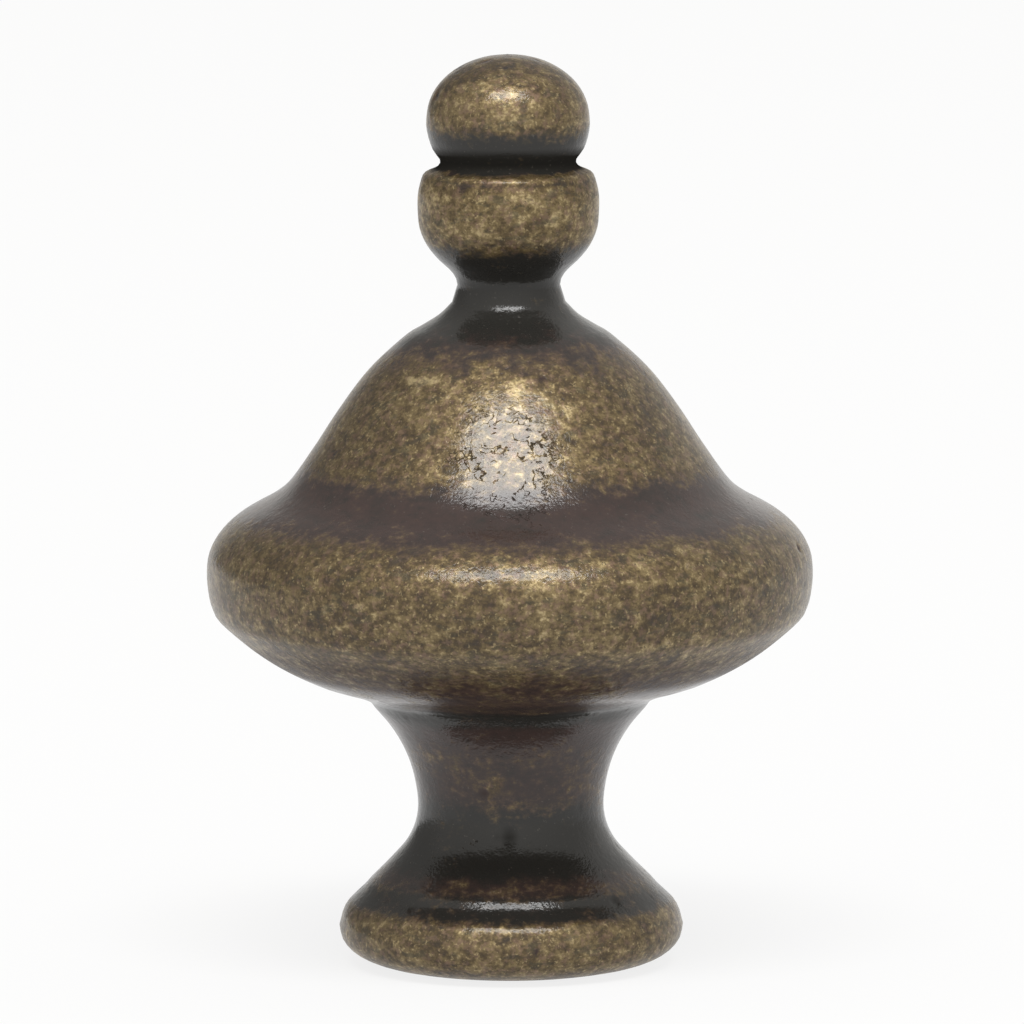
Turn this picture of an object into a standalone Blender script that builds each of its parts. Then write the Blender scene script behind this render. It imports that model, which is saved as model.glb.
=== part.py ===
"""A small brass finial turned in one piece: ball, knop, bell, belly, stem and foot, with a blind socket from below.

It stands on the ring of its foot around the mouth of the socket. Metres, +Z up, origin on the axis
in the plane of that ring.
"""

import collections
import math

import bmesh
import bpy

# Socket for a 1/4 in lamp stud, from the underside
SOCKET_DIAMETER = 0.0064
SOCKET_DEPTH = 0.0095
SOCKET_CHAMFER = 0.00025
DRILL_POINT_ANGLE = 118

# Foot and stem, from the socket outwards
SEAT_WIDTH = 0.00135
FOOT_OVERHANG = 0.00241
STEM_WALL = 0.0007

# Diameters, from the stem up
CREASE_DIAMETER = 0.0128
BRIM_DIAMETER = 0.0253
BELL_DIAMETER = 0.01834
NECK_DIAMETER = 0.0043
KNOP_DIAMETER = 0.00754
KNOP_EDGE_INSET = 0.00021
GROOVE_DEPTH = 0.00071
BALL_DIAMETER = 0.00682

# Rise of each member above the one below it
FOOT_RISE = 0.00158
STEM_RISE = 0.0049
CREASE_RISE = 0.00487
BRIM_RISE = 0.00529
BELL_RISE = 0.00364
NECK_RISE = 0.00822
KNOP_RISE = 0.00288
KNOP_EDGE_RISE = 0.0018
GROOVE_RISE = 0.00055
BALL_RISE = 0.00162
CROWN_RISE = 0.00275

# Headings of the outline, in degrees: 0 runs outwards, 90 straight up and 180 inwards
UNDERSIDE_HEADING = 3
UPRIGHT = 90
STEM_INTO_CREASE = 34
BELLY_FROM_CREASE = 14.5
COVE_INTO_BELL = 130
KNOP_INTO_EDGE = 117
EDGE_INTO_GROOVE = 156
GROOVE_ROOT_IN = 69
GROOVE_ROOT_OUT = 45.5
CROWN = 180

# Points that a member's curve passes on its way to the next member: share of the step out or in,
# share of the rise, and heading
FLARE_OF_FOOT = (0.38, 0.38, 133)
SHOULDER_OF_BELLY = (0.903, 0.584, 45)
TOP_OF_BRIM = (0.54, 0.70, 151.5)
SIDE_OF_BELL = (0.29, 0.3625, 125)
SHOULDER_OF_BELL = (0.684, 0.735, 144.5)
SHOULDER_OF_KNOP = (0.475, 0.365, 44.5)

# Fineness of the facets
RING_FACETS = 64
TURN_PER_FACET = 15
LEAST_FACETS = 2
SHARP_ANGLE = 32

# Brown-gold brass, linear colour
BRASS_COLOUR = (0.36, 0.28, 0.16, 1.0)
BRASS_ROUGHNESS = 0.35
BRASS_METALLIC = 1.0

Station = collections.namedtuple("Station", "radius height heading_in heading_out")


def clear_scene():
    for obj in list(bpy.data.objects):
        bpy.data.objects.remove(obj, do_unlink=True)


def above(lower, radius, rise, heading_in, heading_out=None):
    """The next member up: its radius, and how far it is above the one below."""
    if heading_out is None:
        heading_out = heading_in
    return Station(radius, lower.height + rise, heading_in, heading_out)


def between(lower, upper, passing):
    """A point that the curve from one member to the next passes."""
    share_out, share_up, heading = passing
    radius = lower.radius + share_out * (upper.radius - lower.radius)
    height = lower.height + share_up * (upper.height - lower.height)
    return Station(radius, height, heading, heading)


def outer_stations():
    """Members and passing points of the outer side, from the edge of the seat to the top of the ball."""
    socket_radius = SOCKET_DIAMETER / 2
    seat_radius = socket_radius + SOCKET_CHAMFER + SEAT_WIDTH
    knop_edge_radius = KNOP_DIAMETER / 2 - KNOP_EDGE_INSET
    seat = Station(seat_radius, 0.0, UNDERSIDE_HEADING, UNDERSIDE_HEADING)
    foot = above(seat, seat_radius + FOOT_OVERHANG, FOOT_RISE, UPRIGHT)
    stem = above(foot, socket_radius + STEM_WALL, STEM_RISE, UPRIGHT)
    crease = above(stem, CREASE_DIAMETER / 2, CREASE_RISE, STEM_INTO_CREASE, BELLY_FROM_CREASE)
    brim = above(crease, BRIM_DIAMETER / 2, BRIM_RISE, UPRIGHT)
    bell = above(brim, BELL_DIAMETER / 2, BELL_RISE, COVE_INTO_BELL)
    neck = above(bell, NECK_DIAMETER / 2, NECK_RISE, UPRIGHT)
    knop = above(neck, KNOP_DIAMETER / 2, KNOP_RISE, UPRIGHT)
    knop_edge = above(knop, knop_edge_radius, KNOP_EDGE_RISE, KNOP_INTO_EDGE, EDGE_INTO_GROOVE)
    groove = above(knop_edge, knop_edge_radius - GROOVE_DEPTH, GROOVE_RISE, GROOVE_ROOT_IN, GROOVE_ROOT_OUT)
    ball = above(groove, BALL_DIAMETER / 2, BALL_RISE, UPRIGHT)
    crown = above(ball, 0.0, CROWN_RISE, CROWN)
    return [
        seat,
        foot,
        between(foot, stem, FLARE_OF_FOOT),
        stem,
        crease,
        between(crease, brim, SHOULDER_OF_BELLY),
        brim,
        between(brim, bell, TOP_OF_BRIM),
        bell,
        between(bell, neck, SIDE_OF_BELL),
        between(bell, neck, SHOULDER_OF_BELL),
        neck,
        between(neck, knop, SHOULDER_OF_KNOP),
        knop,
        knop_edge,
        groove,
        ball,
        crown,
    ]


def arm_share(turn):
    """Length of a Bezier arm over its chord, for the arc that makes this turn."""
    if turn < 1e-3:
        return 1 / 3
    return 4 / 3 * math.tan(turn / 4) / (2 * math.sin(turn / 2))


def curve(start, end):
    """Points of a near-circular curve between two stations, without its last point."""
    turn = math.radians(abs(end.heading_in - start.heading_out))
    arm = arm_share(turn) * math.dist(start[:2], end[:2])
    leave = math.radians(start.heading_out)
    arrive = math.radians(end.heading_in)
    corners = [
        start[:2],
        (start.radius + arm * math.cos(leave), start.height + arm * math.sin(leave)),
        (end.radius - arm * math.cos(arrive), end.height - arm * math.sin(arrive)),
        end[:2],
    ]
    facets = max(LEAST_FACETS, math.ceil(math.degrees(turn) / TURN_PER_FACET))
    return [bezier_point(corners, step / facets) for step in range(facets)]


def bezier_point(corners, t):
    weights = ((1 - t) ** 3, 3 * t * (1 - t) ** 2, 3 * t * t * (1 - t), t**3)
    return tuple(sum(w * corner[axis] for w, corner in zip(weights, corners)) for axis in (0, 1))


def outer_points():
    stations = outer_stations()
    points = []
    for start, end in zip(stations, stations[1:]):
        points += curve(start, end)
    return points + [stations[-1][:2]]


def socket_points():
    """The socket's inner side, from the point that the drill leaves down to the chamfered mouth."""
    radius = SOCKET_DIAMETER / 2
    drill_point = radius / math.tan(math.radians(DRILL_POINT_ANGLE / 2))
    return [
        (0.0, SOCKET_DEPTH + drill_point),
        (radius, SOCKET_DEPTH),
        (radius, SOCKET_CHAMFER),
        (radius + SOCKET_CHAMFER, 0.0),
    ]


def brass():
    material = bpy.data.materials.new("antique_brass")
    material.use_nodes = True
    shader = material.node_tree.nodes["Principled BSDF"]
    shader.inputs["Base Color"].default_value = BRASS_COLOUR
    shader.inputs["Roughness"].default_value = BRASS_ROUGHNESS
    shader.inputs["Metallic"].default_value = BRASS_METALLIC
    return material


def turned_mesh(name, outline):
    """A closed solid of revolution about Z. The outline starts and ends on the axis."""
    shape = bmesh.new()
    points = [shape.verts.new((radius, 0.0, height)) for radius, height in outline]
    edges = [shape.edges.new(pair) for pair in zip(points, points[1:])]
    bmesh.ops.spin(
        shape,
        geom=points + edges,
        axis=(0, 0, 1),
        cent=(0, 0, 0),
        angle=2 * math.pi,
        steps=RING_FACETS,
        use_merge=True,
    )
    bmesh.ops.remove_doubles(shape, verts=shape.verts, dist=1e-7)
    bmesh.ops.recalc_face_normals(shape, faces=shape.faces)
    mesh = bpy.data.meshes.new(name)
    shape.to_mesh(mesh)
    shape.free()
    mesh.shade_smooth()
    mesh.set_sharp_from_angle(angle=math.radians(SHARP_ANGLE))
    return mesh


def finial():
    mesh = turned_mesh("finial", socket_points() + outer_points())
    mesh.materials.append(brass())
    piece = bpy.data.objects.new("finial", mesh)
    bpy.context.scene.collection.objects.link(piece)
    return piece


clear_scene()
finial()
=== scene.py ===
"""The finish of a small antiqued brass lamp finial: relief, patina, wear and lacquer, on a pale floor."""

import math

import bpy
import numpy as np
from mathutils import Matrix, Vector, noise


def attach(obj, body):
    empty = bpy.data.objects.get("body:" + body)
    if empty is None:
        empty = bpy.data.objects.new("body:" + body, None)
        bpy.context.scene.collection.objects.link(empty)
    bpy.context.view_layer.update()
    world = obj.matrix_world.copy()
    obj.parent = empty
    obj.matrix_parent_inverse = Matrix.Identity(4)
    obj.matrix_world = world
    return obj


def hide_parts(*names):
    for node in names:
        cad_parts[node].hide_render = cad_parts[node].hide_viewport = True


MM = 0.001

# Fineness of the finial's mesh
RING_FACETS = 384
BORE_FACETS = 96
RING_SPACING = 0.260 * MM
CURVE_STEPS = 24
CORNER_TURN = math.radians(24)
SHARP_ANGLE = math.radians(50)

# The knop's upper edge, eased as a casting's is: the heights it lies between, and over how many
# points on each side and in how many passes it is eased
KNOP_EDGE = (32.8 * MM, 33.5 * MM)
EASED_POINTS = 3
EASING_PASSES = 3

# Thread of the socket, 27 turns to the inch. Its crest is half its width, as a share of the pitch
THREAD_PITCH = 25.4 / 27 * MM
THREAD_DEPTH = 0.45 * MM
THREAD_CREST = 1 / 7
THREAD_ROWS_PER_TURN = 8
THREAD_RUNOUT = 0.8 * MM

# Finish inside the socket, and how much more its crests are rubbed
SOCKET_WORN = 0.15
CREST_WORN = 0.6
SOCKET_WARM = 0.5
SOCKET_GLOSS = 0.4

# Relief of the casting, which sets in over a margin above the flat ring of the seat
WAVE_DEPTH = 0.016 * MM
WAVE_LENGTH = 3.2 * MM
DIMPLE_DEPTH = 0.010 * MM
DIMPLE_LENGTH = 0.8 * MM
PIT_COUNT = 90
PIT_RADIUS = (0.18 * MM, 0.42 * MM)
PIT_DEPTH = 0.035 * MM
PIT_SEED = 11
SEAT_MARGIN = 0.1 * MM

# How relief takes wear: the share more that is rubbed off for each metre of crest, and the share
# less for each metre of pit. A pit of the dull depth, or deeper, has the least gloss
CREST_WEAR = 6.0 / MM
PIT_DIRT = 14.0 / MM
DULL_PIT_DEPTH = 0.1 * MM
LEAST_GLOSS = 0.1

# Marks that show: degrees round from the front, height, radius and depth
MARKS = (
    (-0.5, 5.84 * MM, 0.50 * MM, 0.07 * MM),
    (8.5, 1.55 * MM, 0.22 * MM, 0.06 * MM),
    (77.0, 17.8 * MM, 0.30 * MM, 0.08 * MM),
)

# Spots rubbed brighter, on the bell and stem: degrees round from the front, height, radius and share
BRIGHT_SPOTS = (
    (-44.0, 24.92 * MM, 0.448 * MM, 1.5),
    (-38.5, 24.95 * MM, 0.476 * MM, 1.8),
    (-33.0, 25.00 * MM, 0.448 * MM, 1.5),
    (-27.5, 25.08 * MM, 0.420 * MM, 1.2),
    (-12.0, 25.60 * MM, 0.700 * MM, 0.8),
    (2.5, 24.90 * MM, 0.770 * MM, 1.0),
    (-28.0, 23.85 * MM, 0.630 * MM, 0.7),
    (21.0, 23.75 * MM, 0.840 * MM, 0.8),
    (12.0, 24.40 * MM, 0.560 * MM, 0.8),
    (-19.5, 23.10 * MM, 0.560 * MM, 0.8),
    (-7.8, 8.26 * MM, 0.588 * MM, 0.32),
    (-14.2, 7.55 * MM, 0.700 * MM, 0.22),
)

# Lobes of the patch of thick clean lacquer: degrees round from the front, height, and the radius
# at which it has faded out
CLEAN_LOBES = (
    (-1.5, 22.2 * MM, 3.6 * MM),
    (-6.5, 21.3 * MM, 2.0 * MM),
    (1.0, 21.0 * MM, 2.3 * MM),
)

# A shallow step turned round the foot, steep above its root and easing out below, deeper in front
FOOT_STEP_TOP = 3.55 * MM
FOOT_STEP_ROOT = 3.15 * MM
FOOT_STEP_END = 2.5 * MM
FOOT_STEP_DEPTH = 0.080 * MM
FOOT_STEP_ELSEWHERE = 0.4

# A fine line turned into the top of the stem, just under the crease
CREASE_LINE_HEIGHT = 11.10 * MM
CREASE_LINE_WIDTH = 0.18 * MM
CREASE_LINE_DEPTH = 0.08 * MM

# Heights where the rings lie closer, and how many times
FINER_HEIGHTS = ((FOOT_STEP_END, FOOT_STEP_TOP), KNOP_EDGE)
FINER_TIMES = 3

# Share of the patina that is rubbed off, by height in mm
WORN_BY_HEIGHT = (
    (0.0, 0.55),
    (0.6, 0.85),
    (2.45, 0.92),
    (2.7, 0.35),
    (2.9, 0.1),
    (3.3, 0.15),
    (3.5, 0.3),
    (4.0, 0.25),
    (4.5, 0.0),
    (6.0, 0.0),
    (7.2, 0.28),
    (9.3, 0.34),
    (9.9, 0.12),
    (10.6, 0.0),
    (11.25, 0.0),
    (11.45, 0.28),
    (12.6, 0.35),
    (13.8, 0.6),
    (14.6, 0.85),
    (18.3, 0.85),
    (18.8, 0.5),
    (19.2, 0.15),
    (19.7, 0.0),
    (20.4, 0.05),
    (20.9, 0.4),
    (21.4, 0.8),
    (24.9, 0.85),
    (25.3, 0.6),
    (25.8, 0.4),
    (26.3, 0.1),
    (26.7, 0.0),
    (29.7, 0.0),
    (30.1, 0.4),
    (30.5, 1.0),
    (31.0, 1.3),
    (32.6, 1.3),
    (32.95, 0.6),
    (33.1, 1.0),
    (33.22, 0.95),
    (33.32, 0.5),
    (33.42, 0.0),
    (34.4, 0.0),
    (34.9, 0.35),
    (35.3, 0.95),
    (36.6, 0.95),
    (37.3, 0.7),
    (38.1, 0.6),
)

# Share of the patina that is brown rather than black, by height in mm
WARM_BY_HEIGHT = (
    (0.0, 0.7),
    (2.5, 0.7),
    (2.8, 0.3),
    (3.4, 0.3),
    (3.7, 0.7),
    (4.0, 0.7),
    (4.6, 0.1),
    (6.5, 0.1),
    (7.5, 0.8),
    (10.4, 0.8),
    (10.9, 0.2),
    (11.25, 0.2),
    (11.5, 0.9),
    (18.5, 0.8),
    (20.5, 0.7),
    (25.5, 0.8),
    (26.8, 0.3),
    (27.5, 0.1),
    (30.0, 0.1),
    (30.6, 0.6),
    (33.2, 0.6),
    (33.6, 0.0),
    (34.9, 0.1),
    (35.4, 0.6),
    (38.1, 0.6),
)

# Share of the lacquer's gloss, by height in mm: none where dirt fills the groove
GLOSS_BY_HEIGHT = (
    (0.0, 0.4),
    (2.0, 1.0),
    (3.0, 0.85),
    (3.6, 1.0),
    (12.2, 1.0),
    # Less gloss under the belly, from 12.7 to 13.6 mm, is a painted shade: it dims the glowing floor's
    # reflection where a real floor would lie in the finial's shadow
    (12.7, 0.4),
    (13.6, 0.4),
    (14.6, 0.9),
    (30.0, 0.9),
    (30.8, 0.6),
    (33.1, 0.6),
    (33.4, 0.0),
    (34.05, 0.0),
    (34.4, 0.9),
    (38.1, 0.9),
)

# Colours, linear
PATINA = (0.018, 0.017, 0.015, 1)
RED_PATINA = (0.038, 0.024, 0.021, 1)
DUST = (0.140, 0.125, 0.105, 1)
DARK_BROWN = (0.060, 0.042, 0.023, 1)
BROWN = (0.110, 0.078, 0.037, 1)
BRASS = (0.190, 0.140, 0.066, 1)
BRIGHT_BRASS = (0.42, 0.33, 0.175, 1)
RUST = (0.140, 0.086, 0.062, 1)
PINK_BRASS = (0.230, 0.150, 0.105, 1)
OLIVE = (0.060, 0.055, 0.036, 1)
FLOOR_COLOUR = (0.12, 0.12, 0.12, 1)
WHITE = (1, 1, 1, 1)
STUDIO_COLOUR = (1.0, 0.985, 0.95, 1)

# Tones of the brass, from the darkest up
BRASS_TONES = (
    (0.15, DARK_BROWN),
    (0.42, BROWN),
    (0.62, BRASS),
    (0.85, BRIGHT_BRASS),
)

# Patterns in the finish, varying about a half: scale to the mm, detail, roughness and distortion
PATTERNS = {
    "blotches": (0.6, 3.0, 0.55),
    "patches": (1.5, 3.0, 0.6, 0.3),
    "mottle": (2.6, 3.0, 0.65),
    "speckle": (4.2, 2.0, 0.55),
    "grain": (9.0, 1.0),
    "cracks": (1.5, 2.0, 0.6, 0.4),
}

# Spots: a pattern of the same kind, and the values where they begin and where they are full
SPOTS = {
    "flecks": ((5.6, 2.0, 0.6), (0.58, 0.72)),
    "rust": ((2.1, 4.0, 0.75), (0.52, 0.64)),
    "stains": ((1.05, 3.0, 0.65), (0.54, 0.64)),
    "pink": ((3.3, 3.0, 0.6), (0.54, 0.66)),
    "dust": ((7.3, 2.0, 0.6), (0.64, 0.78)),
    "crack places": ((1.25,), (0.50, 0.56)),
    "rim places": ((0.9,), (0.44, 0.56)),
}

# Those drawn out round the finial, and the stretch that does it
BANDED = ("patches", "stains")
BAND_STRETCH = (1, 1, 2.2)

# How much of its colour each gives
# The bright flecks are partly the brass's own colour and partly a painted glint of its facets
FLECK_GLINT_SHARE = 0.6
RUST_SHARE = 0.6
STAIN_SHARE = 0.5
PINK_SHARE = 0.45
DUST_SHARE = 0.35
# Along the cracks and the patch's rim the colour goes towards the black patina: a painted shade for the
# key's reflection that the real wrinkles turn away
CRACK_PAINTED_SHADE = 0.8

# How far each pattern moves the shares that the mesh carries, and the brass's tone from its middle
CLEAN_MIX = {"patches": 1.2, "mottle": 1.0, "speckle": 0.6}
WORN_MIX = {"blotches": 0.8, "patches": 0.9, "mottle": 0.6, "speckle": 0.5}
WARM_MIX = {"blotches": 0.8, "patches": 0.8, "mottle": 0.6}
TONE_MIX = {"worn": 0.28, "blotches": 0.5, "patches": 0.75, "mottle": 1.05, "speckle": 0.4, "grain": 0.35}
MIDDLE_TONE = 0.36

# Values over which each of these goes from none to all, the last three by how far the brass shows
# or the lacquer covers it
CLEAN_EDGE = (0.3, 0.46)
BARE_EDGE = (0.14, 0.85)
RED_EDGE = (0.2, 0.9)
METAL_EDGE = (0.2, 0.9)
FLECK_EDGE = (0.2, 1.0)
SPECKLE_EDGE = (0.2, 1.0)

# Brass that shows under the clean lacquer: the most of it, and the wear over which it gets there
CLEAN_BRASS = 0.85
CLEAN_BRASS_EDGE = (0.2, 0.7)

# Brass itself: the roughness of a dull and a bright tone, and the bump of its grain
MOST_METALLIC = 0.9
TONES = (0.3, 0.7)
ROUGHNESS = (0.66, 0.52)
BRASS_BUMP = 0.35
BRASS_GRAIN = 0.05 * MM

# Cracks in the clean lacquer, and a crack along its rim: widths in the pattern's values
CRACK_WIDTH = 0.022
RIM_OFFSET = 0.10
RIM_WIDTH = 0.05

# Lacquer: its weight on bare brass, and its waves, with the share of the grain where it is clean
# and the shares of the speckle on brass and on patina
COAT_ON_BRASS = 0.68
COAT_ROUGHNESS = 0.17
COAT_IOR = 1.45
COAT_WAVES = 0.022 * MM
COAT_GRAIN = 0.008 * MM
CLEAN_GRAIN = 0.4
COAT_SPECKLE = 0.045 * MM
SPECKLE_SHARES = (0.22, 0.05)
CRACK_DEPTH = 0.03 * MM

# Camera: the photo's distance, height and angle
CAMERA_DISTANCE = 0.410
CAMERA_HEIGHT = 0.0726
CAMERA_SENSOR = 36
CAMERA_LENS = 348.6
CAMERA_CLIP = (0.01, 10)
CAMERA_ROLL = math.radians(-0.23)
AIM = Vector((0.0001, 0.0, 0.01895))

# Key softbox: direction from the finial, distance, size and power
KEY_ELEVATION = math.radians(61.5)
KEY_DISTANCE = 2.0
KEY_SIZE = (1.65, 0.62)
KEY_POWER = 32.0

# Brightness of the studio in front, behind, and further behind to the right
FRONT_LIGHT = 1.10
BACK_LIGHT = 0.45
RIGHT_BACK_LIGHT = 0.6

# A pale backdrop straight behind: how much it adds, and the cosines between which its edge fades
BACKDROP_LIGHT = 0.45
BACKDROP_EDGE = (0.88, 0.95)

# The floor glows like a light table, so it stays white and its shadow faint
FLOOR_GLOW = 0.82
FLOOR_GAP = 0.01 * MM
FLOOR_REACH = 3.0


def cad_rings(node):
    """(radius, height) of each ring of the turned node, read where it crosses the XZ plane at +X."""
    rings = {
        (round(vertex.co.x, 7), round(vertex.co.z, 7))
        for vertex in node.data.vertices
        if abs(vertex.co.y) < 1e-7 and vertex.co.x > -1e-7
    }
    return sorted(rings, key=lambda ring: (ring[1], ring[0]))


def split_rings(rings):
    """The socket's rings above its chamfer, and the outer side's from the socket's mouth on."""
    bore_radius = min(radius for radius, height in rings if height < MM)
    brim_height = max(rings)[1]
    socket = [ring for ring in rings if ring[0] <= bore_radius and ring[1] < brim_height]
    return np.array(socket), np.array([ring for ring in rings if ring not in socket])


def smooth_runs(points):
    """Splits the outline at its sharp corners."""
    steps = np.diff(points, axis=0)
    headings = np.unwrap(np.arctan2(steps[:, 1], steps[:, 0]))
    turns = np.abs(np.diff(headings))
    corners = [0, *(np.nonzero(turns > CORNER_TURN)[0] + 1), len(points) - 1]
    return [points[a : b + 1] for a, b in zip(corners, corners[1:])]


def spline(points, spacing):
    """Points of a smooth curve through the given ones, spaced evenly, but closer where it is finer."""
    ends = np.vstack([2 * points[0] - points[1], points, 2 * points[-1] - points[-2]])
    t = np.linspace(0, 1, CURVE_STEPS, endpoint=False)[:, None]
    pieces = [
        0.5 * (2 * b + (c - a) * t + (2 * a - 5 * b + 4 * c - d) * t**2 + (3 * b - a - 3 * c + d) * t**3)
        for a, b, c, d in zip(ends, ends[1:], ends[2:], ends[3:])
    ]
    dense = np.vstack(pieces + [points[-1:]])
    steps = np.linalg.norm(np.diff(dense, axis=0), axis=1)
    for low, high in FINER_HEIGHTS:
        steps[(dense[1:, 1] > low) & (dense[1:, 1] < high)] *= FINER_TIMES
    along = np.concatenate([[0], np.cumsum(steps)])
    wanted = np.linspace(0, along[-1], max(2, round(along[-1] / spacing)), endpoint=False)
    return np.column_stack([np.interp(wanted, along, dense[:, axis]) for axis in (0, 1)])


def fine_outline(points):
    """The outer side as closely spaced points, with the knop's edge eased."""
    runs = [spline(run, RING_SPACING) for run in smooth_runs(points)]
    outline = np.vstack(runs + [points[-1:]])
    outline[:, 1] = outline[:, 1].clip(min=0)
    corners = np.cumsum([len(run) for run in runs[:-1]])
    edge = next(corner for corner in corners if KNOP_EDGE[0] < outline[corner][1] < KNOP_EDGE[1])
    low, high = edge - EASED_POINTS, edge + EASED_POINTS + 1
    for _ in range(EASING_PASSES):
        outline[low:high] = (outline[low - 1 : high - 1] + outline[low + 1 : high + 1]) / 2
    return outline


def outline_normals(outline):
    along = np.gradient(outline, axis=0)
    along /= np.linalg.norm(along, axis=1)[:, None]
    return np.column_stack([along[:, 1], -along[:, 0]])


def ring_points(radius, height, count):
    angles = np.linspace(0, 2 * math.pi, count, endpoint=False)
    return np.column_stack([radius * np.cos(angles), radius * np.sin(angles), np.full(count, height)])


def grain_depth(points):
    """Waves and dimples of the casting at each point, as a depth below the turned surface."""
    depth = np.empty(len(points))
    for i, point in enumerate(points):
        place = Vector(point)
        wave = 0.5 + 0.5 * noise.noise(place / WAVE_LENGTH)
        dimple = 0.5 + 0.5 * noise.noise(place / DIMPLE_LENGTH)
        depth[i] = WAVE_DEPTH * wave + DIMPLE_DEPTH * dimple
    return depth


def bowl(points, centre, radius, depth=1.0):
    """Depth of a small round pit at each point."""
    near = np.clip(1 - ((points - centre) ** 2).sum(axis=1) / radius**2, 0, None)
    return depth * near**2


def surface_point(points, degrees, height):
    """The surface's point at an angle round from the front, to the right, and a height."""
    angles = np.arctan2(points[:, 0], -points[:, 1])
    radii = np.hypot(points[:, 0], points[:, 1])
    miss = (radii * (angles - math.radians(degrees))) ** 2 + (points[:, 2] - height) ** 2
    return points[np.argmin(miss)]


def bowls(points, spots):
    """The bowl of each spot: degrees round from the front, height, radius and depth."""
    return [bowl(points, surface_point(points, degrees, height), *rest) for degrees, height, *rest in spots]


def pit_depth(points):
    """Casting pits scattered over the surface, and the marks that show in front."""
    random = np.random.default_rng(PIT_SEED)
    depth = np.zeros(len(points))
    for centre in points[random.integers(0, len(points), PIT_COUNT)]:
        size = random.uniform(0, 1) ** 2
        radius = PIT_RADIUS[0] + size * (PIT_RADIUS[1] - PIT_RADIUS[0])
        depth += bowl(points, centre, radius, PIT_DEPTH * (0.5 + size))
    return depth + sum(bowls(points, MARKS))


def smooth_step(values, start, end):
    share = np.clip((values - start) / (end - start), 0, 1)
    return share * share * (3 - 2 * share)


def foot_step_depth(points):
    above = smooth_step(points[:, 2], FOOT_STEP_TOP, FOOT_STEP_ROOT)
    below = smooth_step(points[:, 2], FOOT_STEP_END, FOOT_STEP_ROOT)
    front = np.clip(-points[:, 1] / np.hypot(points[:, 0], points[:, 1]), 0, 1)
    return FOOT_STEP_DEPTH * above * below * (FOOT_STEP_ELSEWHERE + (1 - FOOT_STEP_ELSEWHERE) * front)


def crease_line_depth(points):
    off = (points[:, 2] - CREASE_LINE_HEIGHT) / CREASE_LINE_WIDTH
    return CREASE_LINE_DEPTH * np.exp(-(off**2))


def by_height(points, table):
    """A share at each point, from a table of heights in mm."""
    heights, shares = zip(*table)
    return np.interp(points[:, 2] / MM, heights, shares)


def outer_surface(outline):
    """Vertices of the outer side, ring by ring without the top, with its relief and its wear."""
    points = np.vstack([ring_points(radius, height, RING_FACETS) for radius, height in outline[:-1]])
    angles = np.arctan2(points[:, 1], points[:, 0])
    out, up = np.repeat(outline_normals(outline)[:-1], RING_FACETS, axis=0).T
    outward = np.column_stack([out * np.cos(angles), out * np.sin(angles), up])
    grain = grain_depth(points)
    pits = pit_depth(points)
    depth = grain + pits + foot_step_depth(points) + crease_line_depth(points)
    depth *= np.clip(points[:, 2] / SEAT_MARGIN, 0, 1)
    worn = by_height(points, WORN_BY_HEIGHT) + sum(bowls(points, BRIGHT_SPOTS))
    worn += CREST_WEAR * (grain.mean() - grain) - PIT_DIRT * pits
    shares = {
        "worn": worn,
        "warm": by_height(points, WARM_BY_HEIGHT),
        "clean": np.max(bowls(points, CLEAN_LOBES), axis=0),
        "gloss": by_height(points, GLOSS_BY_HEIGHT) * np.clip(1 - pits / DULL_PIT_DEPTH, LEAST_GLOSS, 1),
    }
    return points - outward * depth[:, None], shares


def socket_surface(socket):
    """Vertices of the threaded bore, from above its chamfer to its full depth, and its finish."""
    (radius, start), (_, end) = socket[0], socket[1]
    rows = round((end - start) / THREAD_PITCH * THREAD_ROWS_PER_TURN)
    heights = np.linspace(start, end, rows + 1)
    points = np.vstack([ring_points(radius, height, BORE_FACETS) for height in heights])
    turn = points[:, 2] / THREAD_PITCH - np.arctan2(points[:, 1], points[:, 0]) / (2 * math.pi)
    ridge = np.clip((0.5 - np.abs(turn - np.round(turn))) / (0.5 - THREAD_CREST), 0, 1)
    fade = np.clip(np.minimum(points[:, 2] - start, end - points[:, 2]) / THREAD_RUNOUT, 0, 1)
    crest = ridge * fade
    points[:, :2] *= (1 - crest * THREAD_DEPTH / radius)[:, None]
    shares = {
        "worn": SOCKET_WORN + CREST_WORN * crest,
        "warm": np.full(len(points), SOCKET_WARM),
        "clean": np.zeros(len(points)),
        "gloss": np.full(len(points), SOCKET_GLOSS),
    }
    return points, shares


def wall_faces(first, rows, count, inwards=False):
    """Quads between the rings of a wall."""
    faces = []
    for row in range(rows):
        low, high = first + row * count, first + (row + 1) * count
        for i in range(count):
            j = (i + 1) % count
            face = (low + i, low + j, high + j, high + i)
            faces.append(face[::-1] if inwards else face)
    return faces


def fan_faces(ring, count, tip, inwards=False):
    faces = [(ring + i, ring + (i + 1) % count, tip) for i in range(count)]
    return [face[::-1] for face in faces] if inwards else faces


def chamfer_faces(bore_ring):
    """Joins the mouth's fine ring, which comes first, to the bore's coarser one."""
    each = RING_FACETS // BORE_FACETS
    faces = []
    for i in range(BORE_FACETS):
        mouth = [(i * each + step) % RING_FACETS for step in range(each, -1, -1)]
        faces.append((bore_ring + i, bore_ring + (i + 1) % BORE_FACETS, *mouth))
    return faces


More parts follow.
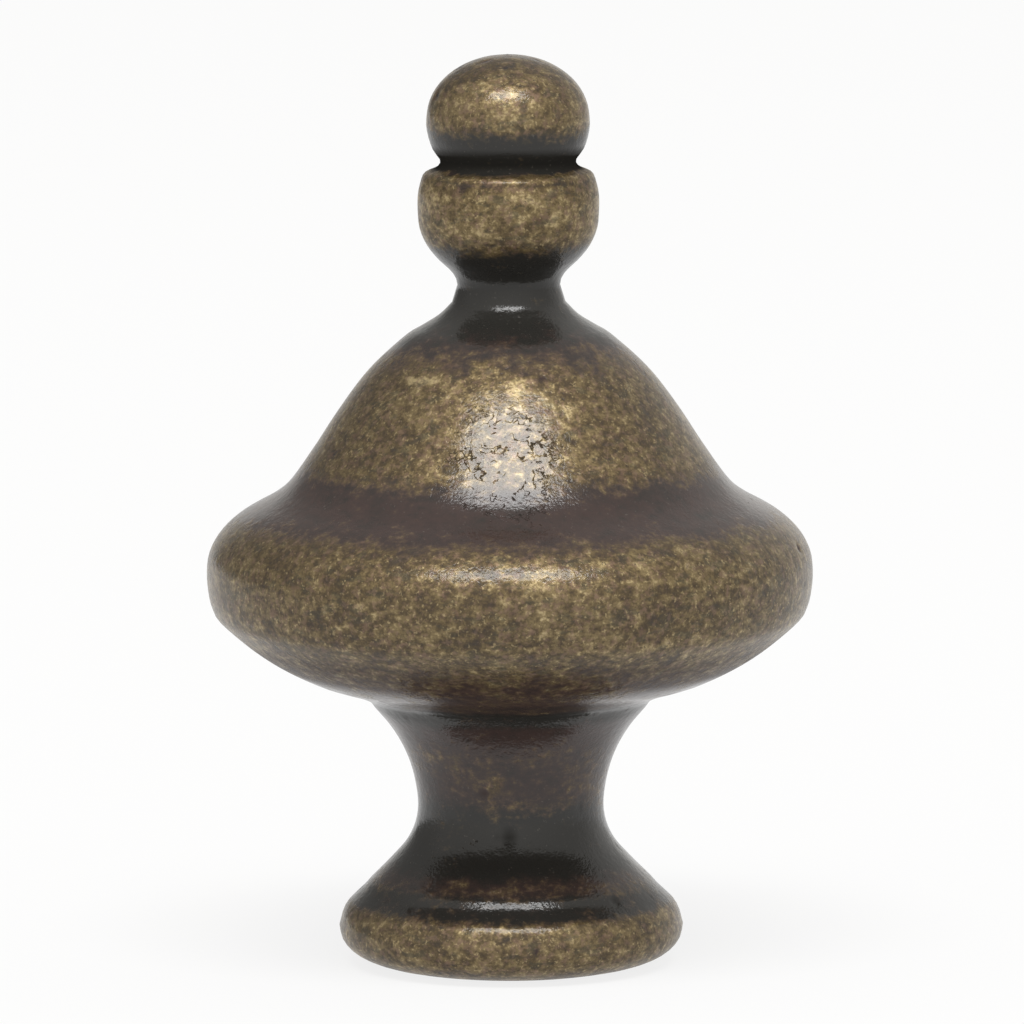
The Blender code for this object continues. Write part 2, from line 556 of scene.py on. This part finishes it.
def finial_piece(node):
    socket, outer = split_rings(cad_rings(node))
    outline = fine_outline(outer)
    outer_points, outer_shares = outer_surface(outline)
    bore_points, bore_shares = socket_surface(socket)
    tips = np.array([(0, 0, outline[-1][1]), (0, 0, socket[-1][1])])
    points = np.vstack([outer_points, bore_points, tips])
    bore = len(outer_points)
    top = bore + len(bore_points)
    faces = wall_faces(0, len(outline) - 2, RING_FACETS)
    faces += fan_faces(bore - RING_FACETS, RING_FACETS, top)
    faces += chamfer_faces(bore)
    faces += wall_faces(bore, len(bore_points) // BORE_FACETS - 1, BORE_FACETS, inwards=True)
    faces += fan_faces(top - BORE_FACETS, BORE_FACETS, top + 1, inwards=True)
    mesh = bpy.data.meshes.new("turned_finial")
    mesh.from_pydata(points.tolist(), [], faces)
    for name, shares in outer_shares.items():
        ends = (shares[-1], bore_shares[name][-1])
        values = mesh.attributes.new(name, "FLOAT", "POINT")
        values.data.foreach_set("value", np.concatenate([shares, bore_shares[name], ends]))
    mesh.shade_smooth()
    mesh.set_sharp_from_angle(angle=SHARP_ANGLE)
    piece = bpy.data.objects.new("turned_finial", mesh)
    bpy.context.scene.collection.objects.link(piece)
    return piece


class Shader:
    """Short forms for the nodes of one material."""

    def __init__(self, name):
        self.material = bpy.data.materials.new(name)
        self.material.use_nodes = True
        self.tree = self.material.node_tree
        self.principled = self.tree.nodes["Principled BSDF"]

    def node(self, kind, inputs=(), **settings):
        made = self.tree.nodes.new(kind)
        for name, value in settings.items():
            setattr(made, name, value)
        for socket, value in dict(inputs).items():
            self.put(made.inputs[socket], value)
        return made

    def put(self, socket, value):
        if isinstance(value, bpy.types.NodeSocket):
            self.tree.links.new(value, socket)
        else:
            socket.default_value = value

    def set(self, name, value):
        """Gives the surface one of its settings."""
        self.put(self.principled.inputs[name], value)

    def maths(self, operation, a, b=0.0):
        return self.node("ShaderNodeMath", {0: a, 1: b}, operation=operation).outputs[0]

    def times(self, a, b):
        return self.maths("MULTIPLY", a, b)

    def vector(self, operation, inputs):
        return self.node("ShaderNodeVectorMath", inputs, operation=operation).outputs[0]

    def noise(self, place, scale, detail=2.0, roughness=0.5, distortion=0.0):
        inputs = {
            "Vector": place,
            "Scale": scale,
            "Detail": detail,
            "Roughness": roughness,
            "Distortion": distortion,
        }
        return self.node("ShaderNodeTexNoise", inputs).outputs["Fac"]

    def ease(self, value, low, high, start=0.0, end=1.0):
        inputs = {"Value": value, "From Min": low, "From Max": high, "To Min": start, "To Max": end}
        return self.node("ShaderNodeMapRange", inputs, interpolation_type="SMOOTHSTEP").outputs["Result"]

    def blend(self, factor, a, b):
        mix = self.node("ShaderNodeMix", data_type="RGBA")
        self.put(mix.inputs["Factor"], factor)
        self.put(mix.inputs["A"], a)
        self.put(mix.inputs["B"], b)
        return mix.outputs["Result"]

    def mixed(self, start, patterns, mix):
        """A start value moved by patterns that vary about a half, each with its weight in the mix."""
        for name, weight in mix.items():
            shift = self.times(self.maths("SUBTRACT", patterns[name], 0.5), weight)
            start = self.maths("ADD", start, shift)
        return start

    def veins(self, pattern, width):
        """Thin winding lines where a pattern passes its middle value."""
        off_middle = self.maths("ABSOLUTE", self.maths("SUBTRACT", pattern, 0.5))
        return self.ease(off_middle, 0.0, width, 1.0, 0.0)

    def ramp(self, value, stops):
        """A colour for each value, between stops of value and colour."""
        ramp = self.node("ShaderNodeValToRGB", {0: value})
        elements = ramp.color_ramp.elements
        while len(elements) < len(stops):
            elements.new(0.5)
        for element, (position, colour) in zip(elements, stops):
            element.position = position
            element.color = colour
        return ramp.outputs["Color"]

    def bump(self, height, strength, distance, normal=None):
        inputs = {"Height": height, "Strength": strength, "Distance": distance}
        if normal is not None:
            inputs["Normal"] = normal
        return self.node("ShaderNodeBump", inputs).outputs["Normal"]


def finish_patterns(shader):
    """The finish's patterns and spots, and the shares that the mesh carries, by name."""
    place = shader.node("ShaderNodeTexCoord").outputs["Object"]
    place = shader.vector("SCALE", {0: place, "Scale": 1 / MM})
    stretched = shader.vector("MULTIPLY", {0: place, 1: BAND_STRETCH})
    patterns = {}
    for name, settings in PATTERNS.items():
        patterns[name] = shader.noise(stretched if name in BANDED else place, *settings)
    for name, (settings, edge) in SPOTS.items():
        patterns[name] = shader.ease(shader.noise(stretched if name in BANDED else place, *settings), *edge)
    for name in ("worn", "warm", "clean", "gloss"):
        patterns[name] = shader.node("ShaderNodeAttribute", attribute_name=name).outputs["Fac"]
    return patterns


def lacquer_patch(shader, patterns):
    """Where the lacquer is clean and thick, and where it is cracked, inside the patch and along its rim."""
    clean = shader.mixed(patterns["clean"], patterns, CLEAN_MIX)
    rim = shader.veins(shader.maths("ADD", clean, RIM_OFFSET), RIM_WIDTH)
    rim = shader.times(rim, patterns["rim places"])
    clean = shader.ease(clean, *CLEAN_EDGE)
    cracks = shader.times(shader.veins(patterns["cracks"], CRACK_WIDTH), patterns["crack places"])
    return clean, shader.maths("MAXIMUM", shader.times(cracks, clean), rim)


def bare_share(shader, patterns, clean):
    """How far the brass shows: where the patina is rubbed, and under clean lacquer."""
    rubbed = shader.ease(shader.mixed(patterns["worn"], patterns, WORN_MIX), *BARE_EDGE)
    under_clean = shader.times(clean, shader.ease(patterns["worn"], *CLEAN_BRASS_EDGE, 0.0, CLEAN_BRASS))
    return shader.maths("MAXIMUM", rubbed, under_clean)


def brass_colour(shader, patterns, tone, bare):
    """Brown to bright brass by its tone, with rust, stains, a pink tint and bright flecks that are partly a
    painted glint.
    """
    colour = shader.ramp(tone, BRASS_TONES)
    colour = shader.blend(shader.times(patterns["rust"], RUST_SHARE), colour, RUST)
    colour = shader.blend(shader.times(patterns["stains"], STAIN_SHARE), colour, OLIVE)
    colour = shader.blend(shader.times(patterns["pink"], PINK_SHARE), colour, PINK_BRASS)
    # Bright flecks of brass, partly a painted glint standing in for the sparkle of the metal's facets
    bright = shader.times(patterns["flecks"], shader.ease(bare, *FLECK_EDGE, 0.0, FLECK_GLINT_SHARE))
    return shader.blend(bright, colour, BRIGHT_BRASS)


def patina_colour(shader, patterns):
    """Black to red-brown, with specks of dust."""
    red = shader.ease(shader.mixed(patterns["warm"], patterns, WARM_MIX), *RED_EDGE)
    colour = shader.blend(red, PATINA, RED_PATINA)
    return shader.blend(shader.times(patterns["dust"], DUST_SHARE), colour, DUST)


def add_lacquer(shader, patterns, clean, cracked, bare):
    """A clear coat, fullest on patina and where it is clean, with fine waves and cracks of its own."""
    covered = shader.maths("MAXIMUM", shader.maths("SUBTRACT", 1.0, bare), clean)
    weight = shader.times(shader.ease(covered, 0.0, 1.0, COAT_ON_BRASS, 1.0), patterns["gloss"])
    shader.set("Coat Weight", shader.times(weight, shader.maths("SUBTRACT", 1.0, cracked)))
    shader.set("Coat Roughness", COAT_ROUGHNESS)
    shader.set("Coat IOR", COAT_IOR)
    grain = shader.times(patterns["grain"], shader.ease(clean, 0.0, 1.0, 1.0, CLEAN_GRAIN))
    speckle = shader.times(patterns["speckle"], shader.ease(covered, *SPECKLE_EDGE, *SPECKLE_SHARES))
    normal = shader.bump(patterns["mottle"], 1.0, COAT_WAVES)
    normal = shader.bump(grain, 1.0, COAT_GRAIN, normal)
    normal = shader.bump(speckle, 1.0, COAT_SPECKLE, normal)
    shader.set("Coat Normal", shader.bump(cracked, 1.0, -CRACK_DEPTH, normal))


def antique_brass():
    """Dark patina, rubbed through to brown and to brass on the swells, under a crackled lacquer."""
    shader = Shader("antique_brass")
    patterns = finish_patterns(shader)
    clean, cracked = lacquer_patch(shader, patterns)
    bare = bare_share(shader, patterns, clean)
    tone = shader.mixed(MIDDLE_TONE, patterns, TONE_MIX)
    brass = brass_colour(shader, patterns, tone, bare)
    colour = shader.blend(bare, patina_colour(shader, patterns), brass)
    # A painted shade: the colour goes dark along the lacquer's cracks and rim, where their wrinkles turn
    # the key's reflection away
    shader.set("Base Color", shader.blend(shader.times(cracked, CRACK_PAINTED_SHADE), colour, PATINA))
    shader.set("Metallic", shader.ease(bare, *METAL_EDGE, 0.0, MOST_METALLIC))
    shader.set("Roughness", shader.ease(tone, *TONES, *ROUGHNESS))
    shader.set("Specular IOR Level", 0.0)
    shader.set("Normal", shader.bump(shader.times(tone, bare), BRASS_BUMP, BRASS_GRAIN))
    add_lacquer(shader, patterns, clean, cracked, bare)
    return shader.material


def floor_material():
    shader = Shader("pale_floor")
    shader.set("Base Color", FLOOR_COLOUR)
    shader.set("Roughness", 0.9)
    shader.set("Specular IOR Level", 0.0)
    shader.set("Emission Color", WHITE)
    shader.set("Emission Strength", FLOOR_GLOW)
    return shader.material


def add_floor():
    mesh = bpy.data.meshes.new("floor")
    sides = ((-1, -1), (1, -1), (1, 1), (-1, 1))
    corners = [(x * FLOOR_REACH, y * FLOOR_REACH, -FLOOR_GAP) for x, y in sides]
    mesh.from_pydata(corners, [], [(0, 1, 2, 3)])
    mesh.materials.append(floor_material())
    floor = bpy.data.objects.new("floor", mesh)
    bpy.context.scene.collection.objects.link(floor)


def look_from(obj, place, target, roll=0.0):
    """Puts a camera or lamp at a place, facing a target."""
    turn = (target - place).to_track_quat("-Z", "Y").to_matrix().to_4x4()
    obj.matrix_world = Matrix.Translation(place) @ turn @ Matrix.Rotation(roll, 4, "Z")


def add_key_softbox():
    light = bpy.data.lights.new("key_softbox", "AREA")
    light.shape = "ELLIPSE"
    light.size, light.size_y = KEY_SIZE
    light.energy = KEY_POWER
    lamp = bpy.data.objects.new("key_softbox", light)
    bpy.context.scene.collection.objects.link(lamp)
    forward = KEY_DISTANCE * math.cos(KEY_ELEVATION)
    height = AIM.z + KEY_DISTANCE * math.sin(KEY_ELEVATION)
    look_from(lamp, Vector((0, -forward, height)), AIM)


def add_surroundings():
    """A plain studio all round, dimmer behind than in front, and brighter behind to the right."""
    world = bpy.data.worlds.new("studio")
    world.use_nodes = True
    tree = world.node_tree

    def maths(operation, *values):
        node = tree.nodes.new("ShaderNodeMath")
        node.operation = operation
        for socket, value in zip(node.inputs, values):
            if isinstance(value, bpy.types.NodeSocket):
                tree.links.new(value, socket)
            else:
                socket.default_value = value
        return node.outputs[0]

    split = tree.nodes.new("ShaderNodeSeparateXYZ")
    tree.links.new(tree.nodes.new("ShaderNodeTexCoord").outputs["Generated"], split.inputs[0])
    right, back = split.outputs["X"], split.outputs["Y"]
    plain = maths("MULTIPLY_ADD", back, (BACK_LIGHT - FRONT_LIGHT) / 2, (FRONT_LIGHT + BACK_LIGHT) / 2)
    right_back = maths("MULTIPLY", right, maths("MAXIMUM", back, 0.0))
    aside = maths("MULTIPLY", right_back, RIGHT_BACK_LIGHT)
    fade = tree.nodes.new("ShaderNodeMapRange")
    fade.interpolation_type = "SMOOTHSTEP"
    tree.links.new(back, fade.inputs["Value"])
    fade.inputs["From Min"].default_value, fade.inputs["From Max"].default_value = BACKDROP_EDGE
    backdrop = maths("MULTIPLY", fade.outputs["Result"], BACKDROP_LIGHT)
    background = tree.nodes["Background"]
    background.inputs["Color"].default_value = STUDIO_COLOUR
    tree.links.new(maths("ADD", maths("ADD", plain, aside), backdrop), background.inputs["Strength"])
    bpy.context.scene.world = world


def add_camera():
    camera = bpy.data.cameras.new("camera")
    camera.sensor_width = CAMERA_SENSOR
    camera.lens = CAMERA_LENS
    camera.clip_start, camera.clip_end = CAMERA_CLIP
    holder = bpy.data.objects.new("camera", camera)
    bpy.context.scene.collection.objects.link(holder)
    look_from(holder, Vector((0, -CAMERA_DISTANCE, CAMERA_HEIGHT)), AIM, CAMERA_ROLL)
    bpy.context.scene.camera = holder


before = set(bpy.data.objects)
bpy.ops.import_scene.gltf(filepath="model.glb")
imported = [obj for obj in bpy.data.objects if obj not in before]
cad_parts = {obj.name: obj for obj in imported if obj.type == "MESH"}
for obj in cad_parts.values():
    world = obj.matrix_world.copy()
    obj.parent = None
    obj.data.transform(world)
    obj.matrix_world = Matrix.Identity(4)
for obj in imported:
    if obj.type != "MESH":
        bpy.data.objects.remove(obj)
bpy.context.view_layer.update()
finial = finial_piece(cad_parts["finial"])
finial.data.materials.append(antique_brass())
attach(finial, "root")
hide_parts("finial")
add_floor()
add_key_softbox()
add_surroundings()
add_camera()
bpy.context.scene.view_settings.view_transform = "Standard"
